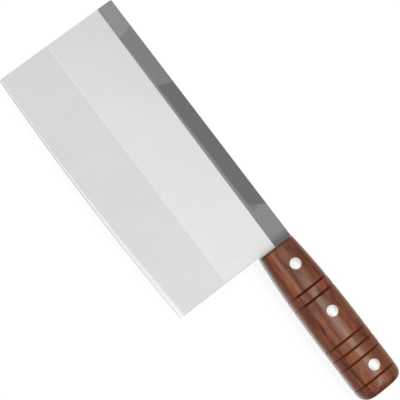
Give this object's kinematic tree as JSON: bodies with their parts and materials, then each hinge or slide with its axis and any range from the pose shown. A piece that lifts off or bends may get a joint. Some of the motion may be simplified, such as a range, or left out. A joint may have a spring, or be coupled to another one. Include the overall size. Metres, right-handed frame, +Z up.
{
  "type": "chinese cleaver",
  "caption": "Broad rectangular kitchen cleaver with a full tang, grooved wooden handle scales and domed two-part rivets.",
  "frame": {"origin": "bottom centre of the bounding box, with the knife lying flat on its right side", "axes": "+X from the blade's front edge towards the handle's butt, +Y from the cutting edge towards the spine, +Z up out of the blade's left face"},
  "size_m": [0.3078, 0.0958, 0.0215],
  "materials": {
    "blade_steel": "satin ground, with a smoother unground band along the spine",
    "scale_wood": "satin lacquered reddish brown wood",
    "rivet_metal": "polished"
  },
  "bodies": {
    "root": {"blade": "blade_steel", "left_scale": "scale_wood", "right_scale": "scale_wood", "front_rivet_post": "rivet_metal", "middle_rivet_post": "rivet_metal", "rear_rivet_post": "rivet_metal", "front_rivet_tube": "rivet_metal", "middle_rivet_tube": "rivet_metal", "rear_rivet_tube": "rivet_metal"}
  },
  "joints": []
}
